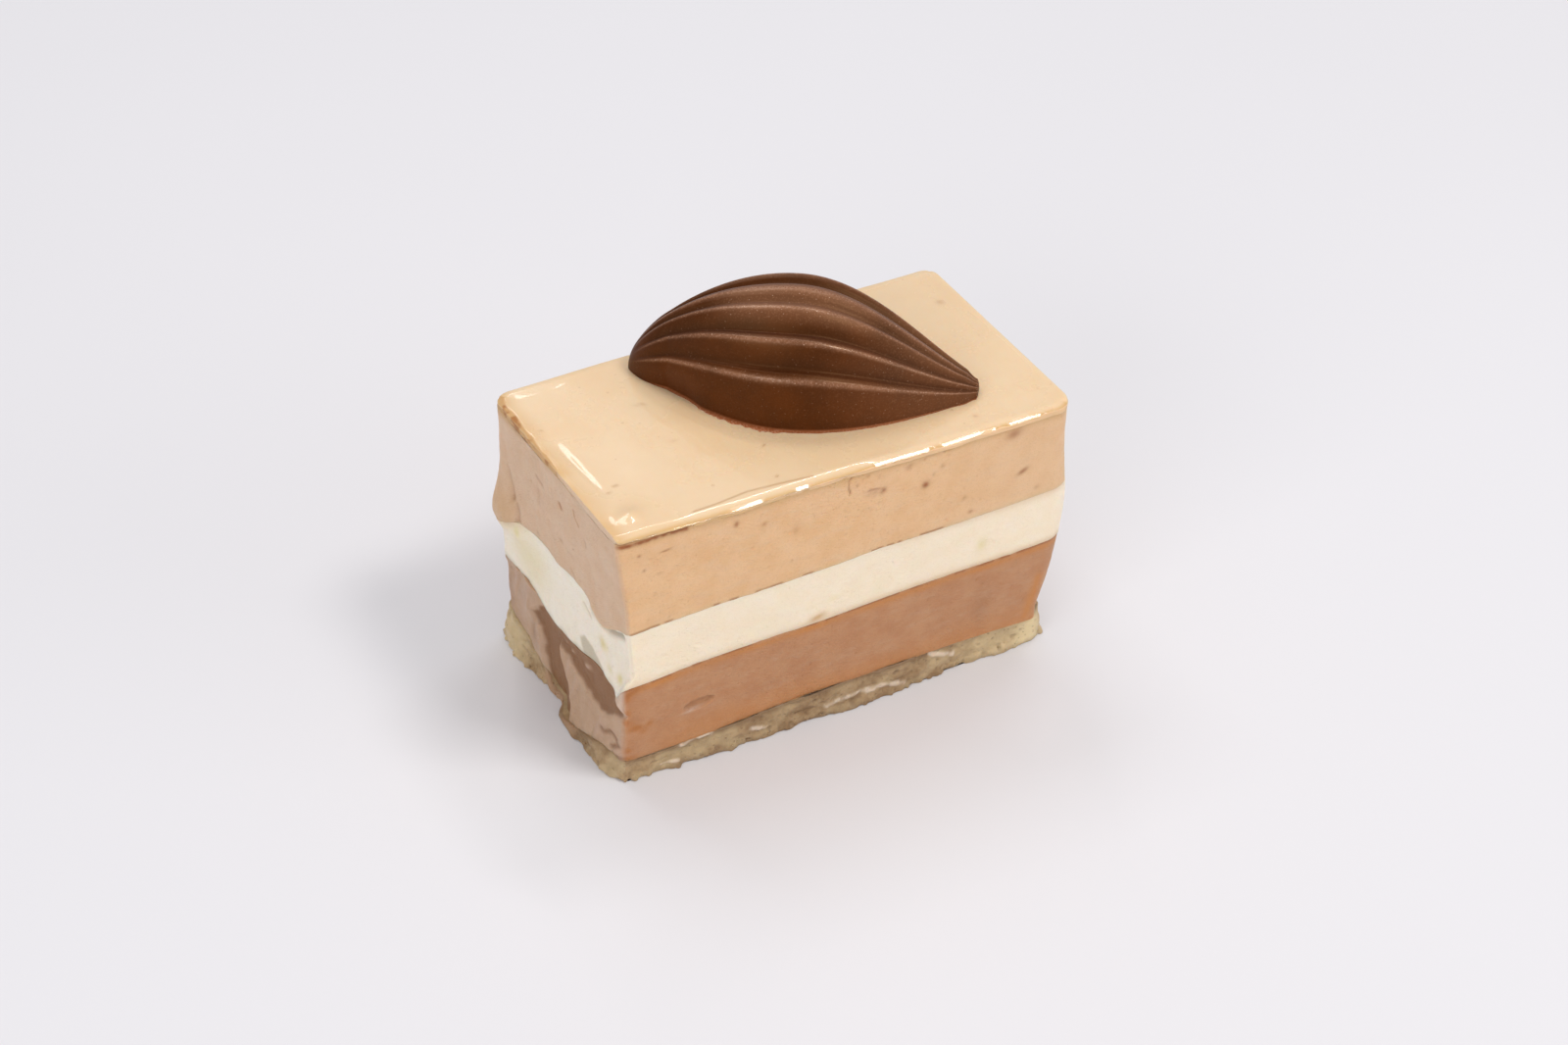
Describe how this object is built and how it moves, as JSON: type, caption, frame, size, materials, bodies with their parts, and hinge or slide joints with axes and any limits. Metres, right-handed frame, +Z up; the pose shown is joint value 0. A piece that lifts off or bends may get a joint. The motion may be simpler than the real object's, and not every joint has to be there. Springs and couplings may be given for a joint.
{
  "type": "mousse cake",
  "caption": "Single-portion rectangular layered mousse cake on a thin sponge base, with a glazed top and a ribbed chocolate pod lying across it.",
  "frame": {"origin": "middle of the plan, on the surface that the cake stands on", "axes": "+X along the long front face, +Y from the front face to the back, +Z up"},
  "size_m": [0.0806, 0.0417, 0.0633],
  "materials": {
    "sponge": "moist crumbly sponge cake",
    "brown_mousse": "smooth brown chocolate mousse, knife cut",
    "white_mousse": "smooth cream-white mousse, knife cut",
    "tan_mousse": "fine-pored tan mousse under a clear glaze",
    "chocolate": "satin moulded chocolate"
  },
  "bodies": {
    "root": {"sponge_base": "sponge", "brown_mousse": "brown_mousse", "white_mousse": "white_mousse", "tan_mousse": "tan_mousse", "chocolate_pod": "chocolate"}
  },
  "joints": []
}
